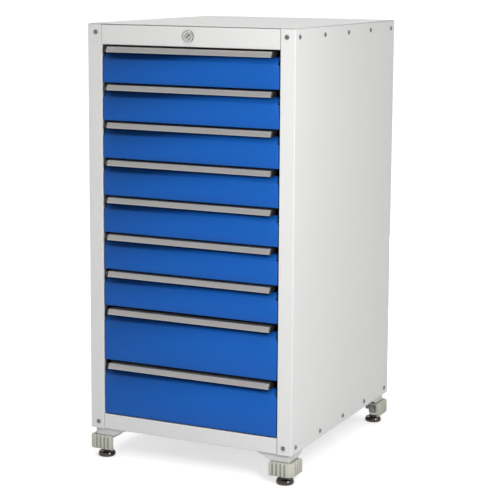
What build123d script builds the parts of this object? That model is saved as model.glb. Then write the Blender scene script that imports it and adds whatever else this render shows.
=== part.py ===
from build123d import *
import os
from math import radians, sin

# Tool chest with nine drawers on four levelling feet.
# Millimetres, +Z up, front towards -Y, floor at Z = 0, origin under the middle of the whole chest.

# Cabinet outside
cabinet_width = 600
cabinet_depth = 700
body_height = 1100
foot_height = 85

# Sheet steel of the carcass
panel_sheet = 1.5
back_sheet = 1.2
panel_bend = 2.5
seam = 1.0
end_gap = 0.5

# Front posts and rear flanges, folded from the side panels
post_width = 42
post_return = 7
post_lip = 30
rear_flange = 25

# Top fascia and bottom rail, channels between the posts with tabs behind them
fascia_height = 55
rail_height = 42
channel_depth = 20
channel_bend = 2.5
tab_lap = 20
tab_reach = 32
tab_margin = 4

# Flanges inside the side panels that take the side screws
cover_flange = 40
base_flange = 36

# Button-head screws: their heads, ten-sided to keep so many of them light
screw_head_radius = 6
screw_head_height = 3
screw_head_taper = 25
screw_head_sides = 10

# Screw places, from the cabinet's edges
screw_below_top = 23
screw_above_bottom = 18
front_screw_inset = 24
side_screw_inset = 26
side_screw_count = 5
rear_screw_inset = 12.5
rear_screw_end = 90
rear_screw_count = 3

# Drawer modules in units of height, from the top one down, with the gap above each kind of front
drawer_units = [2, 2, 2, 2, 2, 2, 2, 3, 3]
front_gaps = {2: 5, 3: 8}
bottom_gap = 3
side_gap = 3

# Drawer fronts, with a recess for the fingers leaning back behind the handle
front_sheet = 1.2
front_bend = 2.5
front_return = 18
front_lip = 15
recess_height = 32
recess_depth = 25
top_flange = 15

# Handle strips with an end cap on each end
handle_reach = 13
handle_lean = 7
handle_drop = 14
handle_wall = 2
handle_bend = 3
handle_web = 38
handle_end_inset = 17
cap_width = 4
cap_depth = 19
cap_bevel = 5
relief_gap = 1

# Drawer trays
tray_sheet = 1.0
tray_inset = 10
tray_depth = 630
tray_lift = 3
tray_top_drop = 17

# Full-extension runners: a cabinet, a middle and a drawer member, nested
runner_space = 13
runner_height = 45
runner_length = 650
runner_sheet = 1.5
member_sheet = 1.2
runner_flange = 9
drawer_member_flange = 7
runner_play = 0.3
runner_centre = 45
runner_start = 22

# Uprights that carry the runners
upright_width = 30
upright_sheet = 1.5
upright_start = 60
upright_end = 60

# Cylinder lock in the fascia
lock_below_top = 27.5
barrel_radius = 9.5
barrel_length = 21
bezel_radius = 14.5
bezel_reach = 7
plug_radius = 6
plug_sink = 1
lock_play = 0.3
key_slot_width = 1.8
key_slot_height = 8
key_slot_depth = 12
key_slot_angle = 45
lock_nut_flats = 24
lock_nut_height = 5
nut_play = 0.1

# Cam on the lock's plug, its pin a quarter turn's throw from the locking bar's other end of travel
cam_throw = 8
cam_sheet = 3
cam_width = 12
cam_pin_radius = 2.5
cam_pin_length = 7
cam_start_angle = 45

# Locking bar with its arm and fingers
bar_thickness = 4
bar_width = 20
bar_gap = 4
bar_setback = 20
bar_foot = 15
arm_thickness = 2
arm_height = 20
arm_setback = 28
arm_reach = 20
slot_play = 0.5
finger_thickness = 3
finger_height = 4
finger_setback = 24
finger_tip_gap = 3
finger_entry = 1

# Catches on the trays, behind the fingers when the bar is down
catch_setback = 30
catch_thickness = 3
catch_height = 8
catch_reach = 10
catch_gap = 1.5

# Guides that hold the locking bar to the side panel
guided_drawer_numbers = [2, 5, 8]
guide_sheet = 2
guide_play = 0.3
guide_rim = 3
guide_lift = 8

# Sheet-steel foot brackets, set in from the cabinet's faces
bracket_inset = 9
bracket_sheet = 2
bracket_bend = 6
bracket_length = 110
bracket_waist = 62
skirt_height = 48
shelf_drop = 28
weld_nut_flats = 19
weld_nut_height = 10

# Ribbed corner covers round the brackets
cover_proud = 5
cover_leg = 64
cover_height = 36
cover_drop = 22
cover_corner = 20
cover_end_round = 5
flute_radius = 3
flute_sides = 8
flute_pitch = 11.5
flute_count = 4
flute_start = 24

# Levelling feet: a glide with its hub, and a spindle with a spanner hexagon and a ribbed knob
foot_inset = 31
glide_radius = 24
glide_sides = 36
glide_height = 14
hub_radius = 11
hub_sides = 12
hub_top = 20
spindle_radius = 6
spindle_play = 0.3
spindle_top_gap = 2
adjuster_flats = 19
adjuster_height = 6
knob_radius = 13
knob_sides = 20

# Places worked out from the sizes above
left = -cabinet_width / 2
right = cabinet_width / 2
front = -(cabinet_depth + cover_proud - handle_reach) / 2
back = front + cabinet_depth
mid_depth = (front + back) / 2
body_bottom = foot_height
body_top = foot_height + body_height
panel_top = body_top - panel_sheet - seam
panel_height = panel_top - body_bottom
post_edge = right - post_width
inner_wall = right - panel_sheet
back_inner = back - panel_sheet - back_sheet
channel_half = post_edge - end_gap
channel_back = front + channel_depth
fascia_bottom = body_top - fascia_height
rail_top = body_bottom + rail_height
drawers_bottom = rail_top + bottom_gap
module_unit = (fascia_bottom - drawers_bottom) / sum(drawer_units)
cover_flange_bottom = body_top - panel_sheet - cover_flange
base_flange_top = body_bottom + base_flange
front_half = post_edge - side_gap
front_back = front + front_return
tray_half = front_half - tray_inset
tray_back = front_back + tray_depth
runner_mount = tray_half + runner_space
runner_front = front + runner_start
runner_back = runner_front + runner_length
middle_web = runner_mount - runner_sheet - runner_play
middle_height = runner_height - 2 * runner_sheet - 2 * runner_play
drawer_member_height = middle_height - 2 * member_sheet - 2 * runner_play
handle_half = front_half - handle_end_inset
relief_start = handle_half + cap_width + relief_gap
lock_z = body_top - lock_below_top
plug_back = front + barrel_length + lock_play
cam_back = plug_back + cam_sheet
cam_offset = cam_throw * sin(radians(cam_start_angle))
bar_travel = 2 * cam_offset
bar_inner = -post_edge - bar_gap
bar_outer = bar_inner - bar_thickness
bar_front = front + bar_setback
arm_front = front + arm_setback
skirt_x = left + bracket_inset
skirt_y = front + bracket_inset
skirt_bottom = body_bottom - skirt_height
shelf_bottom = body_bottom - shelf_drop
foot_x = right - foot_inset
foot_front = front + foot_inset
foot_back = back - foot_inset
spindle_top = body_bottom - bracket_sheet - spindle_top_gap
adjuster_top = hub_top + adjuster_height

# Screw patterns: the centre, then the spacing and the number each way
screw_span = body_height - screw_below_top - screw_above_bottom
screw_middle = body_bottom + screw_above_bottom + screw_span / 2
side_screw_pitch = (cabinet_depth - 2 * side_screw_inset) / (side_screw_count - 1)
rear_screw_pitch = (panel_height - 2 * rear_screw_end) / (rear_screw_count - 1)
rear_screw_middle = body_bottom + panel_height / 2
front_screws = ((0, screw_middle), (cabinet_width - 2 * front_screw_inset, screw_span, 2, 2))
side_screws = ((mid_depth, screw_middle), (side_screw_pitch, screw_span, side_screw_count, 2))
rear_screws = (
    (0, rear_screw_middle),
    (cabinet_width - 2 * rear_screw_inset, rear_screw_pitch, 2, rear_screw_count),
)


def front_plane(y):
    """Plane across the depth, facing the front: its x runs along X and its y along Z."""
    return Plane(origin=(0, y, 0), x_dir=(1, 0, 0), z_dir=(0, -1, 0))


def side_plane(x):
    """Plane along the depth, facing +X: its x runs along Y and its y along Z."""
    return Plane(origin=(x, 0, 0), x_dir=(0, 1, 0), z_dir=(1, 0, 0))


def folded_sheet(points, sheet, side, bends=0):
    """Section of a folded sheet: the outer line of its folds, thickened to one side."""
    with BuildLine() as outline:
        FilletPolyline(*points, radius=bends)
        offset(amount=sheet, side=side, kind=Kind.INTERSECTION)
    make_face(outline.edges())


def filled_outline(points):
    """Face inside a closed outline of straight lines."""
    with BuildLine() as outline:
        Polyline(*points, close=True)
    make_face(outline.edges())


def block(x, y, z, mode=Mode.ADD):
    """Straight-sided block between two bounds along each axis."""
    size = [max(bound) - min(bound) for bound in (x, y, z)]
    middle = [sum(bound) / 2 for bound in (x, y, z)]
    with Locations(Vector(*middle)):
        Box(*size, mode=mode)


def save(part, label):
    """Name a finished piece and write it to its own file."""
    part.label = label
    export_step(part, f"parts/{label}.step")


def drawer_levels():
    """Number, underside and top of each drawer front, from the top drawer down."""
    level = fascia_bottom
    for number, units in enumerate(drawer_units, start=1):
        module = units * module_unit
        level -= module
        yield number, level, level + module - front_gaps[units]


os.makedirs("parts", exist_ok=True)

# Left side panel with its front post and rear flange, and the right one as its mirror image
with BuildPart() as side_panel_left:
    with BuildSketch(Plane.XY.offset(body_bottom)):
        folded_sheet(
            [
                (-post_edge - post_lip, front + post_return),
                (-post_edge, front + post_return),
                (-post_edge, front),
                (left, front),
                (left, back),
                (left + rear_flange, back),
            ],
            panel_sheet, Side.RIGHT, bends=[0, panel_bend, panel_bend, 0],
        )
    extrude(amount=panel_height)
    # The return and lip make room for the tabs of the fascia and the rail
    notch_x = (-post_edge - post_lip, -post_edge)
    notch_y = (front + panel_sheet, front + post_return)
    block(notch_x, notch_y, (fascia_bottom, panel_top), mode=Mode.SUBTRACT)
    block(notch_x, notch_y, (body_bottom, rail_top), mode=Mode.SUBTRACT)
save(side_panel_left.part, "side_panel_left")

with BuildPart() as side_panel_right:
    mirror(side_panel_left.part, about=Plane.YZ)
save(side_panel_right.part, "side_panel_right")

# Back panel, against the inner faces of the rear flanges
with BuildPart() as back_panel:
    with BuildSketch(front_plane(back_inner)):
        with Locations((0, body_bottom + panel_height / 2)):
            Rectangle(2 * inner_wall, panel_height)
    extrude(amount=-back_sheet)
save(back_panel.part, "back_panel")

# Top cover: a flat sheet over the whole cabinet, with flanges inside the side and back panels
with BuildPart() as top_panel:
    with BuildSketch(Plane.XY.offset(body_top - panel_sheet)) as top_panel_outline:
        with Locations((0, mid_depth)):
            Rectangle(cabinet_width, cabinet_depth)
        chamfer(top_panel_outline.vertices(), panel_sheet)
    extrude(amount=panel_sheet)
    with BuildSketch(Plane.XY.offset(cover_flange_bottom)):
        folded_sheet(
            [
                (-inner_wall, channel_back),
                (-inner_wall, back_inner),
                (inner_wall, back_inner),
                (inner_wall, channel_back),
            ],
            panel_sheet, Side.RIGHT,
        )
    extrude(amount=cover_flange)
save(top_panel.part, "top_panel")

# Base panel: a pan between the side panels, with flanges up on all four sides
with BuildPart() as base_panel:
    with BuildSketch(front_plane(channel_back)):
        folded_sheet(
            [
                (-inner_wall, base_flange_top),
                (-inner_wall, body_bottom),
                (inner_wall, body_bottom),
                (inner_wall, base_flange_top),
            ],
            panel_sheet, Side.LEFT,
        )
    extrude(amount=channel_back - back_inner)
    flange_x = (-inner_wall, inner_wall)
    block(flange_x, (channel_back, channel_back + panel_sheet), (body_bottom, base_flange_top))
    block(flange_x, (back_inner - panel_sheet, back_inner), (body_bottom, base_flange_top))
save(base_panel.part, "base_panel")


def front_channel(bottom, top, hole_z=None):
    """Channel between the posts, open to the rear, with a tab behind each post for its screw."""
    with BuildPart() as channel:
        with BuildSketch(side_plane(0)):
            folded_sheet(
                [(channel_back, bottom), (front, bottom), (front, top), (channel_back, top)],
                panel_sheet, Side.RIGHT, bends=channel_bend,
            )
        extrude(amount=channel_half, both=True)
        for end in (-1, 1):
            block(
                (end * (channel_half - tab_lap), end * (channel_half + tab_reach)),
                (front + panel_sheet, front + 2 * panel_sheet),
                (bottom + tab_margin, top - tab_margin),
            )
        if hole_z is not None:
            with BuildSketch(front_plane(front)):
                with Locations((0, hole_z)):
                    Circle(barrel_radius + lock_play)
            extrude(amount=-panel_sheet, mode=Mode.SUBTRACT)
    return channel.part


save(front_channel(fascia_bottom, panel_top, hole_z=lock_z), "top_fascia")
save(front_channel(body_bottom, rail_top), "bottom_rail")

# Inner frame: four uprights for the runners, and the locking bar's guides
with BuildPart() as uprights:
    for upright_y in (front + upright_start, runner_back - upright_end - upright_width):
        with BuildSketch(Plane.XY.offset(base_flange_top)):
            folded_sheet(
                [
                    (-inner_wall, upright_y),
                    (-runner_mount, upright_y),
                    (-runner_mount, upright_y + upright_width),
                    (-inner_wall, upright_y + upright_width),
                ],
                upright_sheet, Side.LEFT,
            )
        extrude(amount=cover_flange_bottom - base_flange_top)
    mirror(about=Plane.YZ)

with BuildPart() as guides:
    for number, bottom, top in drawer_levels():
        if number in guided_drawer_numbers:
            level = (bottom + guide_lift, bottom + guide_lift + guide_sheet)
            block(
                (-inner_wall, bar_inner + guide_rim),
                (bar_front - guide_rim, bar_front + bar_width + guide_rim),
                level,
            )
            block(
                (bar_outer - guide_play, bar_inner + guide_play),
                (bar_front - guide_play, bar_front + bar_width + guide_play),
                level,
                mode=Mode.SUBTRACT,
            )
save(Compound(children=[*uprights.part.solids(), *guides.part.solids()]), "inner_frame")


def screw_heads(plane, pattern, outward):
    """Tapered heads at a pattern's places, on the side of the plane that outward gives."""
    centre, grid = pattern
    with BuildPart() as heads:
        with BuildSketch(plane):
            with Locations(centre):
                with GridLocations(*grid):
                    RegularPolygon(screw_head_radius, side_count=screw_head_sides)
        extrude(amount=outward * screw_head_height, taper=screw_head_taper)
    return heads.part


# Screw heads on the side panels, the posts and the rear flanges
with BuildPart() as side_screw_heads:
    add(screw_heads(side_plane(left), side_screws, outward=-1))
    mirror(about=Plane.YZ)

with BuildPart() as panel_screws:
    add(side_screw_heads.part)
    add(screw_heads(front_plane(front), front_screws, outward=1))
    add(screw_heads(front_plane(back), rear_screws, outward=-1))
save(panel_screws.part, "panel_screws")

# Lock housing: a bezel, its barrel through the fascia, and the nut behind
bezel_front = front - bezel_reach
with BuildPart() as lock_body:
    with BuildSketch(front_plane(front)):
        with Locations((0, lock_z)):
            Circle(bezel_radius)
    extrude(amount=bezel_reach)
    with BuildSketch(front_plane(front)):
        with Locations((0, lock_z)):
            Circle(barrel_radius)
    extrude(amount=-barrel_length)
    with BuildSketch(front_plane(bezel_front)):
        with Locations((0, lock_z)):
            Circle(plug_radius + lock_play)
    extrude(amount=-bezel_reach - barrel_length, mode=Mode.SUBTRACT)

with BuildPart() as lock_nut:
    with BuildSketch(front_plane(front + panel_sheet)):
        with Locations((0, lock_z)):
            RegularPolygon(lock_nut_flats / 2, side_count=6, major_radius=False)
            Circle(barrel_radius + nut_play, mode=Mode.SUBTRACT)
    extrude(amount=-lock_nut_height)
save(Compound(children=[lock_body.part, lock_nut.part]), "lock_housing")

# Lock plug, a little below the bezel's face, with a slanting key slot
plug_front = bezel_front + plug_sink
with BuildPart() as lock_plug:
    with BuildSketch(front_plane(plug_front)):
        with Locations((0, lock_z)):
            Circle(plug_radius)
    extrude(amount=plug_front - plug_back)
    with BuildSketch(front_plane(plug_front)):
        with Locations((0, lock_z)):
            Rectangle(key_slot_width, key_slot_height, rotation=key_slot_angle)
    extrude(amount=-key_slot_depth, mode=Mode.SUBTRACT)
save(lock_plug.part, "lock_plug")

# Cam on the back of the plug, with the pin that drives the locking bar
with BuildPart() as lock_cam:
    with BuildSketch(front_plane(plug_back)):
        with Locations((cam_offset / 2, lock_z + cam_offset / 2)):
            Rectangle(cam_throw + cam_width, cam_width, rotation=cam_start_angle)
    extrude(amount=-cam_sheet)
    with BuildSketch(front_plane(cam_back)):
        with Locations((cam_offset, lock_z + cam_offset)):
            Circle(cam_pin_radius)
    extrude(amount=-cam_pin_length)
save(lock_cam.part, "lock_cam")


def catch_bottom(bottom):
    """Underside of a drawer's catch, just above its runner."""
    return bottom + runner_centre + runner_height / 2 + catch_gap


# Locking bar: a flat bar beside the drawers, an arm to the cam, and a finger for each catch
arm_z = lock_z + cam_offset
pin_room = cam_pin_radius + slot_play
with BuildPart() as lock_bar:
    lowest = min(bottom for number, bottom, top in drawer_levels())
    block(
        (bar_outer, bar_inner),
        (bar_front, bar_front + bar_width),
        (catch_bottom(lowest) - bar_foot, arm_z + arm_height / 2),
    )
    block(
        (bar_inner, arm_reach),
        (arm_front, arm_front + arm_thickness),
        (arm_z - arm_height / 2, arm_z + arm_height / 2),
    )
    for number, bottom, top in drawer_levels():
        finger_bottom = catch_bottom(bottom) + finger_entry + bar_travel
        block(
            (bar_inner, -tray_half - finger_tip_gap),
            (front + finger_setback, front + finger_setback + finger_thickness),
            (finger_bottom, finger_bottom + finger_height),
        )
    with BuildSketch(front_plane(arm_front)):
        with Locations(((cam_offset + cam_throw) / 2, arm_z)):
            Rectangle(cam_throw - cam_offset + 2 * pin_room, 2 * pin_room)
    extrude(amount=-arm_thickness, mode=Mode.SUBTRACT)
save(lock_bar.part, "lock_bar")


def runner_members(web_x, tip_x, height, sheet, centre_z, end_y):
    """C-shaped runner members on both sides of a drawer, the flanges from web_x towards tip_x."""
    half = height / 2
    side = Side.LEFT if tip_x > web_x else Side.RIGHT
    with BuildPart() as members:
        with BuildSketch(front_plane(runner_front)):
            folded_sheet(
                [
                    (tip_x, centre_z + half),
                    (web_x, centre_z + half),
                    (web_x, centre_z - half),
                    (tip_x, centre_z - half),
                ],
                sheet, side,
            )
        extrude(amount=runner_front - end_y)
        mirror(about=Plane.YZ)
    return members.part


# Cabinet members of all the runners, on the uprights
cabinet_members = []
for number, bottom, top in drawer_levels():
    pair = runner_members(
        web_x=-runner_mount,
        tip_x=-runner_mount + runner_flange,
        height=runner_height,
        sheet=runner_sheet,
        centre_z=bottom + runner_centre,
        end_y=runner_back,
    )
    cabinet_members += pair.solids()
save(Compound(children=cabinet_members), "cabinet_runners")


def drawer_front(bottom, top):
    """Folded front: a flat face with returns, and above it the recess leaning back to the handle's seat."""
    crease = top - recess_height
    seat = top - handle_wall
    seat_front = front + recess_depth
    with BuildPart() as piece:
        with BuildSketch(side_plane(0)):
            folded_sheet(
                [
                    (front_back, bottom),
                    (front, bottom),
                    (front, crease),
                    (seat_front, seat),
                    (seat_front + top_flange, seat),
                ],
                front_sheet, Side.RIGHT,
            )
        extrude(amount=front_half - front_bend, both=True)
        # The seat ends beside the handle's caps
        for end in (-1, 1):
            block(
                (end * relief_start, end * front_half),
                (front, seat_front + top_flange),
                (top - handle_drop, seat),
                mode=Mode.SUBTRACT,
            )
        with BuildSketch(Plane.XY.offset(bottom)):
            folded_sheet(
                [
                    (-front_half + front_lip, front_back),
                    (-front_half, front_back),
                    (-front_half, front),
                    (-front_half + 2 * front_bend, front),
                ],
                front_sheet, Side.LEFT, bends=[0, front_bend],
            )
            mirror(about=Plane.YZ)
        extrude(amount=crease - bottom)
    return piece.part


def drawer_handle(top):
    """Handle: an aluminium strip bent down at its front, and an end cap on each end."""
    tip_y = front - handle_reach
    tip_z = top - handle_drop
    with BuildPart() as strip:
        with BuildSketch(side_plane(0)):
            folded_sheet(
                [
                    (front + handle_web, top),
                    (tip_y + handle_lean, top),
                    (tip_y, tip_z),
                ],
                handle_wall, Side.LEFT, bends=handle_bend,
            )
        extrude(amount=handle_half, both=True)
    with BuildPart() as caps:
        with BuildSketch(side_plane(handle_half)):
            filled_outline(
                [
                    (tip_y, tip_z),
                    (tip_y + handle_lean, top),
                    (tip_y + cap_depth, top),
                    (tip_y + cap_depth, tip_z + cap_bevel),
                    (tip_y + cap_depth - cap_bevel, tip_z),
                ]
            )
        extrude(amount=cap_width)
        mirror(about=Plane.YZ)
    return Compound(children=[strip.part, *caps.part.solids()])


def drawer_tray(bottom, top):
    """Tray with its lock catch, and the drawer members of its two runners."""
    floor = bottom + tray_lift
    rim = top - tray_top_drop
    with BuildPart() as tray:
        with BuildSketch(Plane.XY.offset(floor)):
            with Locations((0, (front_back + tray_back) / 2)):
                Rectangle(2 * tray_half, tray_depth)
        extrude(amount=rim - floor)
        offset(amount=-tray_sheet, openings=tray.faces().sort_by(Axis.Z)[-1])
        block(
            (-tray_half - catch_reach, -tray_half),
            (front + catch_setback, front + catch_setback + catch_thickness),
            (catch_bottom(bottom), catch_bottom(bottom) + catch_height),
        )
    members = runner_members(
        web_x=-tray_half,
        tip_x=-tray_half - drawer_member_flange,
        height=drawer_member_height,
        sheet=member_sheet,
        centre_z=bottom + runner_centre,
        end_y=tray_back,
    )
    return Compound(children=[tray.part, *members.solids()])


def middle_rails(bottom):
    """Middle members of a drawer's two runners."""
    return runner_members(
        web_x=-middle_web,
        tip_x=-middle_web + runner_flange,
        height=middle_height,
        sheet=member_sheet,
        centre_z=bottom + runner_centre,
        end_y=runner_back,
    )


for number, bottom, top in drawer_levels():
    save(drawer_front(bottom, top), f"drawer_{number}_front")
    save(drawer_handle(top), f"drawer_{number}_handle")
    save(drawer_tray(bottom, top), f"drawer_{number}_tray")
    save(middle_rails(bottom), f"drawer_{number}_mid_rails")


def at_all_corners(corner_part):
    """The piece at the front left corner, and its mirror images at the other three."""
    with BuildPart() as pieces:
        add(corner_part)
        mirror(about=Plane.YZ)
        mirror(about=Plane.XZ.offset(-mid_depth))
    return pieces.part


# Foot bracket: two skirts round the corner, a top plate, and a shelf with the nut for the spindle
with BuildPart() as bracket:
    with BuildSketch(Plane.XY.offset(skirt_bottom)):
        folded_sheet(
            [
                (skirt_x, front + bracket_length),
                (skirt_x, skirt_y),
                (left + bracket_length, skirt_y),
            ],
            bracket_sheet, Side.LEFT, bends=bracket_bend,
        )
    extrude(amount=skirt_height)
    # Each skirt slopes up from the cover's end to the cabinet
    slope = [
        (bracket_waist, -skirt_height),
        (bracket_waist, -cover_drop),
        (bracket_length, 0),
        (bracket_length, -skirt_height),
    ]
    with BuildSketch(front_plane(skirt_y)):
        filled_outline([(left + along, body_bottom + down) for along, down in slope])
    extrude(amount=-bracket_sheet, mode=Mode.SUBTRACT)
    with BuildSketch(side_plane(skirt_x)):
        filled_outline([(front + along, body_bottom + down) for along, down in slope])
    extrude(amount=bracket_sheet, mode=Mode.SUBTRACT)
    with BuildSketch(Plane.XY.offset(body_bottom)):
        filled_outline(
            [
                (skirt_x + bracket_bend, skirt_y + bracket_sheet),
                (left + bracket_length, skirt_y + bracket_sheet),
                (skirt_x + bracket_sheet, front + bracket_length),
                (skirt_x + bracket_sheet, skirt_y + bracket_bend),
            ]
        )
    extrude(amount=-bracket_sheet)
    with BuildSketch(Plane.XY.offset(shelf_bottom)):
        filled_outline(
            [
                (skirt_x + bracket_bend, skirt_y + bracket_sheet),
                (left + bracket_waist, skirt_y + bracket_sheet),
                (left + bracket_waist, front + bracket_waist),
                (skirt_x + bracket_sheet, front + bracket_waist),
                (skirt_x + bracket_sheet, skirt_y + bracket_bend),
            ]
        )
    extrude(amount=bracket_sheet)
    with BuildSketch(Plane.XY.offset(shelf_bottom + bracket_sheet)):
        with Locations((-foot_x, foot_front)):
            RegularPolygon(weld_nut_flats / 2, side_count=6, major_radius=False)
    extrude(amount=weld_nut_height)
    with BuildSketch(Plane.XY.offset(shelf_bottom)):
        with Locations((-foot_x, foot_front)):
            Circle(spindle_radius + spindle_play)
    extrude(amount=bracket_sheet + weld_nut_height, mode=Mode.SUBTRACT)
save(at_all_corners(bracket.part), "foot_brackets")

# Corner cover: a thick L round the bracket, fluted outside
cover_x = left - cover_proud
cover_y = front - cover_proud
cover_bottom = body_bottom - cover_drop - cover_height
with BuildPart() as corner_cover:
    with BuildSketch(Plane.XY.offset(cover_bottom)):
        with BuildLine():
            FilletPolyline(
                (left + cover_leg, skirt_y),
                (left + cover_leg, cover_y),
                (cover_x, cover_y),
                (cover_x, front + cover_leg),
                (skirt_x, front + cover_leg),
                (skirt_x, skirt_y),
                radius=[0, cover_end_round, cover_corner, cover_end_round, 0, 0],
                close=True,
            )
        make_face()
        for step in range(flute_count):
            along = flute_start + step * flute_pitch
            with Locations((cover_x + along, cover_y), (cover_x, cover_y + along)):
                RegularPolygon(flute_radius, side_count=flute_sides, mode=Mode.SUBTRACT)
    extrude(amount=cover_height)
save(at_all_corners(corner_cover.part), "foot_covers")


def foot_glide(x, y):
    """Glide with a hub that the spindle stands on."""
    with BuildPart() as glide:
        with BuildSketch():
            with Locations((x, y)):
                RegularPolygon(glide_radius, side_count=glide_sides)
        extrude(amount=glide_height)
        with BuildSketch(Plane.XY.offset(glide_height)):
            with Locations((x, y)):
                RegularPolygon(hub_radius, side_count=hub_sides)
        extrude(amount=hub_top - glide_height)
    return glide.part


def foot_spindle(x, y):
    """Threaded spindle with a hexagon for the spanner and a ribbed knob under the shelf."""
    with BuildPart() as spindle:
        with BuildSketch(Plane.XY.offset(hub_top)):
            with Locations((x, y)):
                RegularPolygon(adjuster_flats / 2, side_count=6, major_radius=False)
        extrude(amount=adjuster_height)
        with BuildSketch(Plane.XY.offset(adjuster_top)):
            with Locations((x, y)):
                RegularPolygon(knob_radius, side_count=knob_sides)
        extrude(amount=shelf_bottom - adjuster_top)
        with BuildSketch(Plane.XY.offset(shelf_bottom)):
            with Locations((x, y)):
                Circle(spindle_radius)
        extrude(amount=spindle_top - shelf_bottom)
    return spindle.part


foot_places = {
    "fl": (-foot_x, foot_front),
    "fr": (foot_x, foot_front),
    "bl": (-foot_x, foot_back),
    "br": (foot_x, foot_back),
}
for corner, (x, y) in foot_places.items():
    save(foot_glide(x, y), f"foot_pad_{corner}")
    save(foot_spindle(x, y), f"foot_spindle_{corner}")
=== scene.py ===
from math import atan2, cos, pi, radians, sin, tan

import bmesh
import bpy
from mathutils import Matrix, Vector


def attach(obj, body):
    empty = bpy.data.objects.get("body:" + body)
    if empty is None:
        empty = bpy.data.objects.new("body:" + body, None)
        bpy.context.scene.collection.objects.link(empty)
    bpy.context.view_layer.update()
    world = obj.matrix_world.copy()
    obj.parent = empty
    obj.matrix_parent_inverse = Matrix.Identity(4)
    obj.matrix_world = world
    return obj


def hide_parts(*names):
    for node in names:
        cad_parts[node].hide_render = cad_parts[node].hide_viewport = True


# Looks of the tool chest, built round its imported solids.
# Sizes are millimetres until a piece is made, in the solids' own frame. The fronts face -Y.
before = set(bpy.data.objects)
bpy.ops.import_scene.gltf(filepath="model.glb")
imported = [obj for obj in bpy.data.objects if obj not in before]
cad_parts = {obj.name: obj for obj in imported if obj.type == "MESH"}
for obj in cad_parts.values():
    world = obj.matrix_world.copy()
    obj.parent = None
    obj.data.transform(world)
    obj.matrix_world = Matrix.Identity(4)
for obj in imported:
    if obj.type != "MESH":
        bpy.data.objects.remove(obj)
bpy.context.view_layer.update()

MM = 0.001

# Faces of the cabinet
FRONT = -346.0
BACK = 354.0
SIDE = 300.0

# Drawers: number, underside and top of each front
DRAWERS = [
    (1, 1030, 1125), (2, 930, 1025), (3, 830, 925), (4, 730, 825), (5, 630, 725),
    (6, 530, 625), (7, 430, 525), (8, 280, 422), (9, 130, 272),
]

# Corners of the cabinet: the sign of X and of Y, and the axes of the feet
CORNERS = {"fl": (-1, -1), "fr": (1, -1), "bl": (-1, 1), "br": (1, 1)}
FOOT_X = 269.0
FOOT_Y = {-1: -315.0, 1: 323.0}

# How a piece's mesh is made: its bends and rounded edges, and angles in degrees
BEND_STEPS = 5
MERGE_DISTANCE = 0.01
SHARP_ANGLE = 32
ROUNDING_STEPS = 2
ROUNDING_ANGLE = 40
TINY = 1e-6


class Shape:
    """Points and faces of a piece while it is put together."""

    def __init__(self):
        self.points = []
        self.faces = []

    def skin(self, rows, closed=True, first_cap=True, last_cap=True):
        """Skin over rows of points. Closed joins each row's end to its start."""
        start = len(self.points)
        count = len(rows[0])
        for row in rows:
            self.points += row
        for low in range(start, start + (len(rows) - 1) * count, count):
            for here in range(count if closed else count - 1):
                beside = (here + 1) % count
                self.faces.append(
                    (low + here, low + beside, low + count + beside, low + count + here)
                )
        last = start + (len(rows) - 1) * count
        if first_cap:
            self.faces.append(tuple(range(start + count - 1, start - 1, -1)))
        if last_cap:
            self.faces.append(tuple(range(last, last + count)))

    def lathe(self, profile, place, segments, **caps):
        """Skin round an axis: profile is the radius and height of each row."""
        self.skin([ring(radius, height, place, segments) for radius, height in profile], **caps)

    def prism(self, section, ends, place):
        """Solid with the same section from one end to the other."""
        self.skin([[place(u, v, end) for u, v in section] for end in ends])


def ring(radius, height, place, segments):
    """Points round an axis. The radius may be a number, or depend on the angle."""
    points = []
    for step in range(segments):
        angle = 2 * pi * step / segments
        reach = radius(angle) if callable(radius) else radius
        points.append(place(reach * cos(angle), reach * sin(angle), height))
    return points


def hexagon(flats):
    """Radius of a hexagon by angle, from its size across flats."""
    return lambda angle: flats / 2 / cos((angle + pi / 6) % (pi / 3) - pi / 6)


def bent_path(corners, bends, steps=BEND_STEPS):
    """Points along a line with rounded bends, each with the direction to the line's left.

    bends are their radii. A bend has one point more than its steps.
    """
    path = []
    spots = [Vector(corner) for corner in corners]
    for index, spot in enumerate(spots):
        before = (spot - spots[index - 1]).normalized() if index else None
        after = (spots[index + 1] - spot).normalized() if index + 1 < len(spots) else None
        if before is None or after is None:
            along = after or before
            path.append((spot, Vector((-along.y, along.x))))
            continue
        turn = atan2(before.cross(after), before.dot(after))
        bend = bends[index - 1] * (1 if turn > 0 else -1)
        start_left = Vector((-before.y, before.x))
        centre = spot - before * abs(bend * tan(turn / 2)) + start_left * bend
        for step in range(steps + 1):
            left = Matrix.Rotation(turn * step / steps, 2) @ start_left
            path.append((centre - left * bend, left))
    return path


# Placing of a point (u, v, height), the height along an axis that goes up or comes out of a face


def upright(x, y):
    """Round an upright axis."""
    return lambda u, v, height: (x + u, y + v, height)


def forward(x, z):
    """Round an axis that comes out of the front."""
    return lambda u, v, height: (x + u, FRONT - height, z + v)


def sideways(sign, y, z):
    """Round an axis that comes out of the left or right side."""
    return lambda u, v, height: (sign * (SIDE + height), y + u, z + v)


def rearward(x, z):
    """Round an axis that comes out of the back."""
    return lambda u, v, height: (x + u, BACK + height, z + v)


def across(u, v, end):
    """A section through depth and height that runs along X."""
    return (end, u, v)


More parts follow.
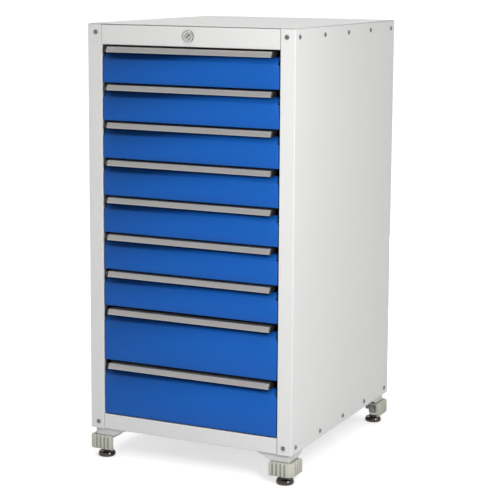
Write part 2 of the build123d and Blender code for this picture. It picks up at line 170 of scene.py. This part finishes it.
def add_piece(name, shape, material, body, replaced=(), open_sheet=False):
    """Make the piece's object, seat it on its body and give it its material."""
    mesh = bpy.data.meshes.new(name)
    mesh.from_pydata([[value * MM for value in point] for point in shape.points], [], shape.faces)
    work = bmesh.new()
    work.from_mesh(mesh)
    bmesh.ops.remove_doubles(work, verts=work.verts, dist=MERGE_DISTANCE * MM)
    if not open_sheet:
        bmesh.ops.recalc_face_normals(work, faces=work.faces)
    work.to_mesh(mesh)
    work.free()
    mesh.shade_smooth()
    mesh.set_sharp_from_angle(angle=radians(SHARP_ANGLE))
    mesh.materials.append(material)
    piece = bpy.data.objects.new(name, mesh)
    bpy.context.collection.objects.link(piece)
    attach(piece, body)
    if replaced:
        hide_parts(*replaced)
    return piece


def round_edges(piece, width):
    """Round the piece's sharp edges."""
    bevel = piece.modifiers.new("rounding", "BEVEL")
    bevel.width = width * MM
    bevel.segments = ROUNDING_STEPS
    bevel.limit_method = "ANGLE"
    bevel.angle_limit = radians(ROUNDING_ANGLE)
    bevel.harden_normals = True


# Materials. Noise scales are per metre.
# How far the rounded normal agrees with the flat one on a face and on a sharp edge
FLAT_MATCH = 0.995
EDGE_MATCH = 0.85
# How much of the surroundings a point sees in the open and in a groove: painted shade starts
# at the first and is full at the second
OPEN_SHARE = 0.95
GROOVE_SHARE = 0.6
# What painted shade in a groove keeps of the colour, and how a worn edge lightens it where no
# colour is given
PAINTED_SHADE_TONE = 0.25
WORN_GAIN, WORN_LIFT = 1.5, 0.08
# Smudges are this much finer than the patches, and take the roughness from low to high
SMUDGE_SCALE = 5
ROUGHNESS_SPREAD = (0.82, 1.22)
BUMP_STRENGTH = 0.6
COAT_ROUGHNESS = 0.12
# Sockets of a Mix node for colours
MIX_FIRST, MIX_SECOND, MIX_RESULT = 6, 7, 2


def add_node(tree, kind, inputs=None, **settings):
    """A shader node with its settings, and its inputs linked to sockets or set to values."""
    node = tree.nodes.new(kind)
    for key, value in settings.items():
        setattr(node, key, value)
    for key, value in (inputs or {}).items():
        if isinstance(value, bpy.types.NodeSocket):
            tree.links.new(value, node.inputs[key])
        else:
            node.inputs[key].default_value = value
    return node


def noise(tree, vector, scale, detail):
    """A noise's value at each point."""
    return add_node(
        tree, "ShaderNodeTexNoise", {"Vector": vector, "Scale": scale, "Detail": detail}
    ).outputs["Fac"]


def calculate(tree, operation, first, second):
    """One value worked out from two."""
    return add_node(
        tree, "ShaderNodeMath", {0: first, 1: second}, operation=operation
    ).outputs["Value"]


def dot(tree, first, second):
    """How far two directions agree."""
    return add_node(
        tree, "ShaderNodeVectorMath", {0: first, 1: second}, operation="DOT_PRODUCT"
    ).outputs["Value"]


def remap(tree, value, source, result):
    """The value, taken from one range to another."""
    return add_node(
        tree, "ShaderNodeMapRange",
        {"Value": value, "From Min": source[0], "From Max": source[1],
         "To Min": result[0], "To Max": result[1]},
    ).outputs["Result"]


def mix_colors(tree, factor, first, second):
    """From the first colour to the second as the factor goes from 0 to 1."""
    return add_node(
        tree, "ShaderNodeMix", {"Factor": factor, MIX_FIRST: first, MIX_SECOND: second},
        data_type="RGBA",
    ).outputs[MIX_RESULT]


def make_material(
    name, color, *, roughness, shift, patch, grain, grain_height, wear_and_highlight, metallic=0.0,
    stretch=(1, 1, 1), wear_and_highlight_color=None, wear_and_highlight_width=0.9, coat=0.0, specular=0.5, painted_shade=0.0,
    painted_shade_reach=6.0,
):
    """Finish with patchy colour, a fine grain in its bump, smudged gloss, lightened edges and
    darkened grooves.

    shift is how far the colour wanders. patch and grain are the scales of the noises, and
    stretch draws the grain out. The edge setting is the most that edges lighten, partly as wear
    and partly as painted highlight. The groove setting is the most that grooves and seams
    darken, which is painted shade.
    """
    material = bpy.data.materials.new(name)
    material.use_nodes = True
    tree = material.node_tree
    tree.nodes.clear()
    place = add_node(tree, "ShaderNodeTexCoord").outputs["Object"]
    stretched = add_node(
        tree, "ShaderNodeMapping", {"Vector": place, "Scale": stretch}
    ).outputs["Vector"]
    patches = noise(tree, place, patch, detail=4.0)
    fine = noise(tree, stretched, grain, detail=2.0)
    smudges = noise(tree, place, patch * SMUDGE_SCALE, detail=6.0)
    darker = [value * (1 - shift) for value in color] + [1]
    lighter = [min(1, value * (1 + shift)) for value in color] + [1]
    base = mix_colors(tree, patches, darker, lighter)
    # Edges: lightened where the rounded normal departs from the flat one, broken up by the smudges.
    # This is partly wear and partly painted highlight along bends and rims
    rounded = add_node(
        tree, "ShaderNodeBevel", {"Radius": wear_and_highlight_width * MM}, samples=4
    ).outputs["Normal"]
    flat = add_node(tree, "ShaderNodeNewGeometry").outputs["Normal"]
    edge = remap(tree, dot(tree, rounded, flat), (FLAT_MATCH, EDGE_MATCH), (0.0, wear_and_highlight))
    wear_and_highlight_mask = calculate(tree, "MULTIPLY", edge, smudges)
    edge_wear_and_highlight = wear_and_highlight_color or [min(1, value * WORN_GAIN + WORN_LIFT) for value in color]
    base = mix_colors(tree, wear_and_highlight_mask, base, [*edge_wear_and_highlight, 1])
    if painted_shade:
        # Painted shade: grooves and seams darkened where a surface close by would shade them
        open_share = add_node(
            tree, "ShaderNodeAmbientOcclusion", {"Distance": painted_shade_reach * MM}, samples=8
        ).outputs["AO"]
        painted_shade_mask = remap(tree, open_share, (OPEN_SHARE, GROOVE_SHARE), (0.0, painted_shade))
        shaded = [value * PAINTED_SHADE_TONE for value in color]
        base = mix_colors(tree, painted_shade_mask, base, [*shaded, 1])
    low, high = ROUGHNESS_SPREAD
    rough = remap(tree, smudges, (0.0, 1.0), (roughness * low, min(1, roughness * high)))
    bump = add_node(
        tree, "ShaderNodeBump",
        {"Height": fine, "Strength": BUMP_STRENGTH, "Distance": grain_height * MM,
         "Normal": rounded},
    ).outputs["Normal"]
    shader = add_node(
        tree, "ShaderNodeBsdfPrincipled",
        {"Base Color": base, "Roughness": rough, "Normal": bump, "Metallic": metallic,
         "Coat Weight": coat, "Coat Roughness": COAT_ROUGHNESS, "Specular IOR Level": specular},
    ).outputs["BSDF"]
    add_node(tree, "ShaderNodeOutputMaterial", {"Surface": shader})
    return material


# Painted shade darkens its narrow seams, such as the line under the top cover.
WHITE = make_material(
    "white_powder_coat", (0.77, 0.77, 0.76), roughness=0.45, shift=0.012, patch=3.0,
    grain=700.0, grain_height=0.03, wear_and_highlight=0.15, wear_and_highlight_color=(0.86, 0.86, 0.85), coat=0.04,
    specular=0.25, painted_shade=0.6, painted_shade_reach=3.0,
)
# Its lightened edges are painted highlights along the bends and the crease, and painted shade
# darkens the recess under each handle.
BLUE = make_material(
    "blue_powder_coat", (0.007, 0.100, 0.43), roughness=0.5, shift=0.05, patch=3.5,
    grain=700.0, grain_height=0.03, wear_and_highlight=0.9, wear_and_highlight_color=(0.07, 0.25, 0.64), wear_and_highlight_width=2.2,
    specular=0.22, painted_shade=0.4, painted_shade_reach=4.0,
)
TRAY = make_material(
    "grey_tray_enamel", (0.50, 0.51, 0.52), roughness=0.42, shift=0.04, patch=5.0,
    grain=650.0, grain_height=0.03, wear_and_highlight=0.3,
)
ALUMINIUM = make_material(
    "drawn_aluminium", (0.40, 0.39, 0.38), roughness=0.36, metallic=0.75, shift=0.05, patch=6.0,
    grain=1400.0, grain_height=0.02, stretch=(0.02, 1, 1), wear_and_highlight=0.5, wear_and_highlight_color=(0.75, 0.75, 0.75),
)
BLACK = make_material(
    "black_moulded_plastic", (0.012, 0.012, 0.013), roughness=0.45, shift=0.2, patch=30.0,
    grain=1200.0, grain_height=0.04, wear_and_highlight=0.3, wear_and_highlight_color=(0.05, 0.05, 0.05),
)
# Painted shade darkens its flutes.
COVER = make_material(
    "beige_ribbed_plastic", (0.53, 0.53, 0.46), roughness=0.5, shift=0.06, patch=14.0,
    grain=1000.0, grain_height=0.04, wear_and_highlight=0.35, wear_and_highlight_color=(0.62, 0.62, 0.55), painted_shade=0.85,
)
KNOB = make_material(
    "grey_knob_plastic", (0.32, 0.32, 0.29), roughness=0.5, shift=0.1, patch=25.0,
    grain=1100.0, grain_height=0.05, wear_and_highlight=0.35,
)
# Its colour is chrome darkened to paint a dark reflection, and its lightened edges are painted
# glints on the rim.
GLIDE = make_material(
    "chrome_with_painted_dark_reflection", (0.075, 0.066, 0.062), roughness=0.08, metallic=1.0, shift=0.15, patch=40.0,
    grain=1500.0, grain_height=0.01, wear_and_highlight=0.8, wear_and_highlight_color=(0.5, 0.47, 0.45), wear_and_highlight_width=2.0,
)
# Painted shade darkens its key slot and the groove round its ring.
LOCK = make_material(
    "lock_chrome", (0.50, 0.50, 0.49), roughness=0.14, metallic=1.0, shift=0.06, patch=60.0,
    grain=1500.0, grain_height=0.01, wear_and_highlight=0.4, wear_and_highlight_color=(0.8, 0.8, 0.8), painted_shade=1.0, painted_shade_reach=4.0,
)
SCREW = make_material(
    "zinc_screw", (0.17, 0.17, 0.17), roughness=0.2, metallic=1.0, shift=0.1, patch=50.0,
    grain=1500.0, grain_height=0.01, wear_and_highlight=0.4,
)
ZINC = make_material(
    "zinc_plate", (0.56, 0.57, 0.58), roughness=0.36, metallic=0.9, shift=0.08, patch=18.0,
    grain=500.0, grain_height=0.02, stretch=(1, 0.1, 1), wear_and_highlight=0.3,
)

# Solids that stay as they are and get a finish
CAD_FINISH = {
    "side_panel_left": WHITE, "side_panel_right": WHITE, "back_panel": WHITE, "top_panel": WHITE,
    "base_panel": WHITE, "top_fascia": WHITE, "bottom_rail": WHITE, "foot_brackets": WHITE,
    "inner_frame": ZINC, "cabinet_runners": ZINC, "lock_cam": ZINC, "lock_bar": ZINC,
}
for number, bottom, top in DRAWERS:
    CAD_FINISH[f"drawer_{number}_tray"] = TRAY
    CAD_FINISH[f"drawer_{number}_mid_rails"] = ZINC
for node_name, finish in CAD_FINISH.items():
    for material_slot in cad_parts[node_name].material_slots:
        material_slot.material = finish

# Drawer fronts: a pan with rounded corners, its face folded back to the handle's seat
FRONT_HALF = 255.0
FRONT_BACK = -328.0
FRONT_SHEET = 1.2
FLANGE = 15.0
FOLD = 2.5
CORNER_FOLD = 3.0
CREASE_FOLD = 5.0
RECESS_HEIGHT = 32.0
RECESS_DEPTH = 25.0

# Handles: a drawn strip with a bead along its lower edge, and a plastic cap on each end
HANDLE_HALF = 238.0
HANDLE_WALL = 2.0
HANDLE_DROP = 14.0
HANDLE_LEAN = 7.0
HANDLE_REACH = 38.0
HANDLE_BEND = 3.0
TIP = FRONT - 13.0
BEAD = 1.9
BEAD_LIFT = 0.4
BEAD_STEP = 15
BEAD_STEPS = 17
CAP_WIDTH = 4.0
CAP_BEVEL = 3.0
CAP_ROUNDING = 0.8

BEND_POINTS = BEND_STEPS + 1
SEAT_LINE = FRONT + RECESS_DEPTH
# Where the face narrows to the handle's seat: on the recess's slope, at the strip's lower edge
STEP_SHARE = (RECESS_HEIGHT - HANDLE_DROP) / (RECESS_HEIGHT - HANDLE_WALL)
STEP_BACK = FRONT + RECESS_DEPTH * STEP_SHARE
OPEN_SKIN = {"closed": False, "first_cap": False, "last_cap": False}


def add_front(number, bottom, top):
    """A drawer's front in sheet steel."""
    seat = top - HANDLE_WALL
    face = bent_path(
        [(FRONT + FLANGE, bottom), (FRONT, bottom), (FRONT, top - RECESS_HEIGHT),
         (SEAT_LINE, seat), (SEAT_LINE + FLANGE, seat)],
        [FOLD, CREASE_FOLD, FOLD],
    )
    line = [spot for spot, left in face]
    # Where the bends at the lower edge and the crease start, and the first point after them
    hem, crease, rest = 1, 1 + BEND_POINTS, 1 + 2 * BEND_POINTS
    step = Vector((STEP_BACK, top - HANDLE_DROP))
    pan = Shape()
    # The face, and the seat, which is narrower and ends at the handle's caps
    for half, part in (
        (FRONT_HALF - CORNER_FOLD, [*line[:rest], step]), (HANDLE_HALF, [step, *line[rest:]]),
    ):
        pan.skin(
            [[(-half, depth, height), (half, depth, height)] for depth, height in part],
            **OPEN_SKIN,
        )
    # The sides, as far up as the crease
    plan = bent_path(
        [(-FRONT_HALF, FRONT_BACK), (-FRONT_HALF, FRONT),
         (FRONT_HALF, FRONT), (FRONT_HALF, FRONT_BACK)],
        [CORNER_FOLD, CORNER_FOLD],
    )
    for side in (plan[:1 + BEND_POINTS], plan[1 + BEND_POINTS:]):
        rows = []
        for depth, height in line[hem:crease]:
            inset = depth - FRONT
            rows.append(
                [(spot.x + left.x * inset, spot.y + left.y * inset, height) for spot, left in side]
            )
        rows.append([(spot.x, spot.y, line[crease].y) for spot, left in side])
        pan.skin(rows, **OPEN_SKIN)
    piece = add_piece(
        f"front_sheet_{number}", pan, BLUE, f"drawer_{number}",
        replaced=[f"drawer_{number}_front"], open_sheet=True,
    )
    sheet = piece.modifiers.new("sheet", "SOLIDIFY")
    sheet.thickness = FRONT_SHEET * MM
    sheet.offset = -1
    sheet.use_even_offset = True


def add_handle(number, top):
    """A drawer's handle strip and its two caps."""
    tip = Vector((TIP, top - HANDLE_DROP))
    slope = Vector((HANDLE_LEAN, HANDLE_DROP)).normalized()
    inward = Vector((slope.y, -slope.x))
    bead = tip + slope * (BEAD + BEAD_LIFT) + inward * BEAD
    outer = bent_path(
        [(FRONT + HANDLE_REACH, top), (TIP + HANDLE_LEAN, top), bead - inward * BEAD],
        [HANDLE_BEND],
    )
    around = [
        bead + Matrix.Rotation(radians(BEAD_STEP * step), 2) @ (-inward) * BEAD
        for step in range(1, BEAD_STEPS + 1)
    ]
    inner = [spot + left * HANDLE_WALL for spot, left in outer[:-1]]
    inner.append(bead + inward * (HANDLE_WALL - BEAD) + slope * BEAD)
    strip = Shape()
    strip.prism(
        [spot for spot, left in outer] + around + inner[::-1],
        (-HANDLE_HALF, HANDLE_HALF), across,
    )
    add_piece(
        f"handle_strip_{number}", strip, ALUMINIUM, f"drawer_{number}",
        replaced=[f"drawer_{number}_handle"],
    )
    # Each cap closes the pocket between the strip and its seat, and overlaps the seat by 1 mm
    section = [
        tip, (TIP + HANDLE_LEAN, top), (SEAT_LINE, top), (SEAT_LINE, top - HANDLE_WALL - 1),
        (STEP_BACK + 1, tip.y + CAP_BEVEL), (STEP_BACK - CAP_BEVEL, tip.y),
    ]
    for side, word in ((-1, "left"), (1, "right")):
        cap = Shape()
        cap.prism(section, (side * HANDLE_HALF, side * (HANDLE_HALF + CAP_WIDTH)), across)
        piece = add_piece(
            f"handle_cap_{number}_{word}", cap, BLACK, f"drawer_{number}"
        )
        round_edges(piece, CAP_ROUNDING)


for number, bottom, top in DRAWERS:
    add_front(number, bottom, top)
for number, bottom, top in DRAWERS:
    add_handle(number, top)

# Button-head screws with hexagon sockets
SOCKET = hexagon(4.0)
SCREW_PROFILE = [
    (5.9, 0.0), (5.95, 0.5), (5.6, 1.5), (4.9, 2.3), (4.1, 2.8), (3.3, 3.0), (SOCKET, 3.0),
    (SOCKET, 1.2),
]
SCREW_SEGMENTS = 24
SCREW_HEIGHTS = (103.0, 1162.0)
SIDE_SCREW_DEPTHS = (-320.0, -158.0, 4.0, 166.0, 328.0)
POST_SCREW_X = 276.0
BACK_SCREW_HEIGHTS = (175.0, 633.75, 1092.5)
BACK_SCREW_X = 287.5
screws = Shape()
for z in SCREW_HEIGHTS:
    for sign in (-1, 1):
        for y in SIDE_SCREW_DEPTHS:
            screws.lathe(SCREW_PROFILE, sideways(sign, y, z), SCREW_SEGMENTS)
        screws.lathe(SCREW_PROFILE, forward(sign * POST_SCREW_X, z), SCREW_SEGMENTS)
for z in BACK_SCREW_HEIGHTS:
    for sign in (-1, 1):
        screws.lathe(SCREW_PROFILE, rearward(sign * BACK_SCREW_X, z), SCREW_SEGMENTS)
add_piece("screw_heads", screws, SCREW, "cabinet", replaced=["panel_screws"])

# Lock: the bezel with a raised ring, the barrel's nut, and the plug with its key slot
LOCK_Z = 1157.5
LOCK_NUT = hexagon(24.0)
BEZEL_PROFILE = [
    (6.3, -21.0), (6.3, 5.6), (6.7, 6.1), (9.2, 5.5), (10.2, 6.6), (11.6, 7.0), (13.2, 6.6),
    (14.2, 5.6), (14.5, 4.2), (14.5, 0.0), (9.5, 0.0), (9.5, -21.0), (6.3, -21.0),
]
LOCK_NUT_PROFILE = [
    (9.6, -1.6), (11.2, -1.6), (LOCK_NUT, -2.3), (LOCK_NUT, -5.8), (11.2, -6.5), (9.6, -6.5),
    (9.6, -1.6),
]
SLOT_HALF_WIDTH = 1.4
SLOT_HALF_LENGTH = 4.8
SLOT_SLANT = 45
lock_place = forward(0, LOCK_Z)


def key_slot(angle):
    """Radius of the slanting key slot by angle."""
    turned = angle - radians(SLOT_SLANT)
    return min(
        SLOT_HALF_WIDTH / max(abs(sin(turned)), TINY),
        SLOT_HALF_LENGTH / max(abs(cos(turned)), TINY),
    )


housing = Shape()
housing.lathe(BEZEL_PROFILE, lock_place, segments=64)
housing.lathe(LOCK_NUT_PROFILE, lock_place, segments=48, first_cap=False, last_cap=False)
add_piece("lock_bezel", housing, LOCK, "cabinet", replaced=["lock_housing"])
plug = Shape()
plug.lathe(
    [(6.0, -21.3), (6.0, 5.6), (5.6, 6.0), (key_slot, 6.0), (key_slot, -6.0)],
    lock_place, segments=96,
)
add_piece("lock_core", plug, LOCK, "lock", replaced=["lock_plug"])

# Corner covers: thick and L-shaped, with shallow flutes down both faces
COVER_PROUD = 5.0
COVER_LEG = 69.0
COVER_WALL = 14.0
COVER_BOTTOM, COVER_TOP = 27.0, 63.0
COVER_CORNER = 20.0
COVER_END = 5.0
FLUTES = (24.0, 35.5, 47.0, 58.5)
FLUTE_HALF = 4.2
FLUTE_DEPTH = 3.4
FLUTED_STEPS = 60
CORNER_STEPS = 8
# Height of each row of the skin, and how far its edge is drawn in
COVER_ROWS = (
    (COVER_BOTTOM, 1.2), (COVER_BOTTOM + 0.4, 0.4), (COVER_BOTTOM + 1.2, 0.0),
    (COVER_TOP - 2.0, 0.0), (COVER_TOP - 0.6, 0.6), (COVER_TOP, 2.0),
)


def flute_inset(along):
    """How deep the face lies at a place along it."""
    near = min(abs(along - middle) for middle in FLUTES)
    return FLUTE_DEPTH * cos(near / FLUTE_HALF * pi / 2) ** 2 if near < FLUTE_HALF else 0.0


def cover_outline():
    """Outline of a cover from above, with the way in at each point. Its outer corner is at 0, 0."""
    length = COVER_LEG - COVER_END - COVER_CORNER
    steps = [COVER_CORNER + length * step / FLUTED_STEPS for step in range(FLUTED_STEPS)]
    outline = [
        (Vector((COVER_LEG, COVER_WALL)), Vector((-1, 0))),
        (Vector((COVER_WALL, COVER_WALL)), Vector((-1, -1))),
        (Vector((COVER_WALL, COVER_LEG)), Vector((0, -1))),
    ]
    outline += bent_path(
        [(COVER_WALL, COVER_LEG), (0, COVER_LEG), (0, 0)], [COVER_END]
    )[1:-1]
    outline += [(Vector((flute_inset(v), v)), Vector((1, 0))) for v in reversed(steps)]
    outline += bent_path(
        [(0, COVER_LEG), (0, 0), (COVER_LEG, 0)], [COVER_CORNER], CORNER_STEPS
    )[2:-2]
    outline += [(Vector((u, flute_inset(u))), Vector((0, 1))) for u in steps]
    outline += bent_path(
        [(0, 0), (COVER_LEG, 0), (COVER_LEG, COVER_WALL)], [COVER_END]
    )[1:-1]
    return outline


cover_line = cover_outline()
covers = Shape()
for sign_x, sign_y in CORNERS.values():
    corner_x = sign_x * (SIDE + COVER_PROUD)
    corner_y = FRONT - COVER_PROUD if sign_y < 0 else BACK + COVER_PROUD
    covers.skin(
        [[(corner_x - sign_x * (spot.x + way.x * inset),
           corner_y - sign_y * (spot.y + way.y * inset), height)
          for spot, way in cover_line]
         for height, inset in COVER_ROWS]
    )
add_piece("corner_covers", covers, COVER, "cabinet", replaced=["foot_covers"])

# Levelling feet: a glide with a bulging rim and its neck, then a hexagon, a threaded spindle
# and a ribbed knob
GLIDE_PROFILE = [
    (20.8, 0.0), (22.5, 0.8), (23.5, 2.4), (24.0, 4.6), (24.0, 6.4), (23.6, 8.0), (22.1, 11.4),
    (21.4, 12.5), (20.3, 13.3), (18.8, 13.7), (16.8, 13.5), (14.0, 12.8), (11.8, 13.0),
    (11.0, 14.2), (11.0, 18.8), (10.2, 20.0),
]
FOOT_HEX = hexagon(19.0)
FOOT_HEX_PROFILE = [(8.8, 20.0), (FOOT_HEX, 20.6), (FOOT_HEX, 25.4), (8.8, 26.0)]
# The thread: its plain foot and end, and the radius and rise of each ridge's points
THREAD_FOOT = [(5.2, 56.0)]
THREAD_END = [(5.2, 80.4), (4.6, 81.0)]
THREAD_RIDGE = ((5.2, 0.0), (5.95, 0.6), (5.95, 0.85), (5.2, 1.45))
THREAD_START = 57.2
THREAD_PITCH = 1.75
THREAD_TURNS = 13
KNOB_RIBS = 24
KNOB_RIB_DEPTH = 0.45


def ribbed(radius):
    """Radius of the knob with its ribs, by angle."""
    return lambda angle: radius - KNOB_RIB_DEPTH + KNOB_RIB_DEPTH * cos(KNOB_RIBS * angle)


KNOB_PROFILE = [
    (10.4, 26.0), (11.8, 26.3), (ribbed(12.8), 27.4), (ribbed(13.0), 28.4), (ribbed(13.0), 54.4),
    (ribbed(12.8), 55.6), (11.8, 56.7), (10.4, 57.0),
]
ridges = [
    (radius, THREAD_START + turn * THREAD_PITCH + rise)
    for turn in range(THREAD_TURNS) for radius, rise in THREAD_RIDGE
]
thread_profile = THREAD_FOOT + ridges + THREAD_END
for corner, (sign_x, sign_y) in CORNERS.items():
    axis = upright(sign_x * FOOT_X, FOOT_Y[sign_y])
    glide = Shape()
    glide.lathe(GLIDE_PROFILE, axis, segments=64)
    add_piece(
        f"glide_{corner}", glide, GLIDE, f"pad_{corner}",
        replaced=[f"foot_pad_{corner}"],
    )
    screw = Shape()
    screw.lathe(FOOT_HEX_PROFILE, axis, segments=48)
    screw.lathe(thread_profile, axis, segments=24)
    add_piece(
        f"levelling_screw_{corner}", screw, ZINC, f"spindle_{corner}",
        replaced=[f"foot_spindle_{corner}"],
    )
    knob = Shape()
    knob.lathe(KNOB_PROFILE, axis, segments=192)
    add_piece(f"levelling_knob_{corner}", knob, KNOB, f"spindle_{corner}")

# Floor and world: pale, and white in themselves where they are seen, while the shadow stays
FLOOR_COLOR = (0.7, 0.7, 0.7, 1)
FLOOR_GLOW = 0.6
FLOOR_METRES = 300.0
WHITE_LIGHT = (1, 1, 1, 1)
WORLD_LIGHT = 0.16
# A reflection finds the world white low down and darker overhead, between these heights of Z
HORIZON, OVERHEAD = 0.35, 0.9
OVERHEAD_GLOW = 0.3
# and in it a round soft lamp, which goes from nothing to full at these degrees off its middle
SOFT_LAMP_WAY = Vector((0.80, -0.32, 0.50)).normalized()
SOFT_LAMP_GLOW = 12.0
SOFT_LAMP_EDGE = (11, 8)


def seen_directly(tree):
    """1 for what the camera, a reflection or a clear surface sees."""
    path = add_node(tree, "ShaderNodeLightPath").outputs
    some = calculate(tree, "MAXIMUM", path["Is Camera Ray"], path["Is Glossy Ray"])
    return calculate(tree, "MAXIMUM", some, path["Is Transmission Ray"])


def background(tree, strength):
    """White light from the world."""
    return add_node(
        tree, "ShaderNodeBackground", {"Color": WHITE_LIGHT, "Strength": strength}
    ).outputs["Background"]


def mix_shaders(tree, factor, first, second):
    """The first shader where the factor is 0 and the second where it is 1."""
    return add_node(
        tree, "ShaderNodeMixShader", {0: factor, 1: first, 2: second}
    ).outputs["Shader"]


def add_floor():
    """Lay the floor."""
    material = bpy.data.materials.new("pale_floor")
    material.use_nodes = True
    tree = material.node_tree
    tree.nodes.clear()
    diffuse = add_node(tree, "ShaderNodeBsdfDiffuse", {"Color": FLOOR_COLOR}).outputs["BSDF"]
    strength = calculate(tree, "MULTIPLY", seen_directly(tree), FLOOR_GLOW)
    glow = add_node(
        tree, "ShaderNodeEmission", {"Color": WHITE_LIGHT, "Strength": strength}
    ).outputs["Emission"]
    both = add_node(tree, "ShaderNodeAddShader", {0: diffuse, 1: glow}).outputs["Shader"]
    add_node(tree, "ShaderNodeOutputMaterial", {"Surface": both})
    mesh = bpy.data.meshes.new("floor")
    corners = [
        (sign_x * FLOOR_METRES, sign_y * FLOOR_METRES, 0)
        for sign_x, sign_y in ((-1, -1), (1, -1), (1, 1), (-1, 1))
    ]
    mesh.from_pydata(corners, [], [(0, 1, 2, 3)])
    mesh.materials.append(material)
    floor = bpy.data.objects.new("floor", mesh)
    bpy.context.collection.objects.link(floor)


def light_world():
    """Soft light all round, white where it is seen."""
    world = bpy.data.worlds.new("studio")
    bpy.context.scene.world = world
    world.use_nodes = True
    tree = world.node_tree
    tree.nodes.clear()
    way = add_node(tree, "ShaderNodeTexCoord").outputs["Generated"]
    upward = add_node(tree, "ShaderNodeSeparateXYZ", {"Vector": way}).outputs["Z"]
    fade = remap(tree, upward, (HORIZON, OVERHEAD), (1.0, OVERHEAD_GLOW))
    edge = [cos(radians(angle)) for angle in SOFT_LAMP_EDGE]
    lamp = remap(tree, dot(tree, way, SOFT_LAMP_WAY), edge, (0.0, SOFT_LAMP_GLOW))
    reflected = background(tree, calculate(tree, "ADD", fade, lamp))
    glossy = add_node(tree, "ShaderNodeLightPath").outputs["Is Glossy Ray"]
    seen = mix_shaders(tree, glossy, background(tree, 1.0), reflected)
    light = mix_shaders(tree, seen_directly(tree), background(tree, WORLD_LIGHT), seen)
    add_node(tree, "ShaderNodeOutputWorld", {"Surface": light})


def add_lamp(name, kind, power, place, target):
    """A lamp at a place in metres, turned to its target."""
    data = bpy.data.lights.new(name, kind)
    data.energy = power
    lamp = bpy.data.objects.new(name, data)
    bpy.context.collection.objects.link(lamp)
    lamp.location = place
    lamp.rotation_euler = (Vector(target) - Vector(place)).to_track_quat("-Z", "Y").to_euler()
    return lamp


def add_sun(name, strength, angle, place):
    """Soft even light from one direction."""
    add_lamp(name, "SUN", strength, place, (0, 0, 0)).data.angle = radians(angle)


def add_area(name, power, size, place, target):
    """Large soft lamp, left out of reflections, where the world's round lamp stands for it."""
    lamp = add_lamp(name, "AREA", power, place, target)
    lamp.data.shape = "RECTANGLE"
    lamp.data.size, lamp.data.size_y = size
    lamp.visible_glossy = False


add_floor()
light_world()
add_sun("top_fill", strength=1.9, angle=60, place=(0.2, -0.6, 4.0))
add_area(
    "front_box", power=25, size=(0.5, 0.6), place=(1.42, -1.62, 1.32), target=(0.2, -0.3, 0.7)
)
add_area(
    "back_fill", power=36, size=(1.4, 1.0), place=(-1.3, 3.2, 0.56), target=(0, 0.35, 0.56)
)

# Camera, placed by fitting the chest's edges to the photograph: metres and radians
CAMERA_PLACE = (1.87641, -3.92301, 1.344)
YAW, PITCH, ROLL = 0.4435, 0.1498, 0.0065
FOCAL_PIXELS = 1570.45
FRAME_PIXELS = 500
SENSOR = 36.0
SHIFT_DOWN = -0.1
CLIP_END = 1000
ahead = Vector((-sin(YAW) * cos(PITCH), cos(YAW) * cos(PITCH), -sin(PITCH)))
level = Vector((cos(YAW), sin(YAW), 0))
above = level.cross(ahead)
camera_right = level * cos(ROLL) + above * sin(ROLL)
camera_up = above * cos(ROLL) - level * sin(ROLL)
camera_data = bpy.data.cameras.new("camera")
camera_data.sensor_width = SENSOR
camera_data.lens = FOCAL_PIXELS / FRAME_PIXELS * SENSOR
camera_data.shift_y = SHIFT_DOWN
camera_data.clip_end = CLIP_END
camera = bpy.data.objects.new("camera", camera_data)
bpy.context.collection.objects.link(camera)
facing = Matrix((camera_right, camera_up, -ahead)).transposed().to_4x4()
camera.matrix_world = Matrix.Translation(CAMERA_PLACE) @ facing
bpy.context.scene.camera = camera

bpy.context.scene.view_settings.view_transform = "Standard"
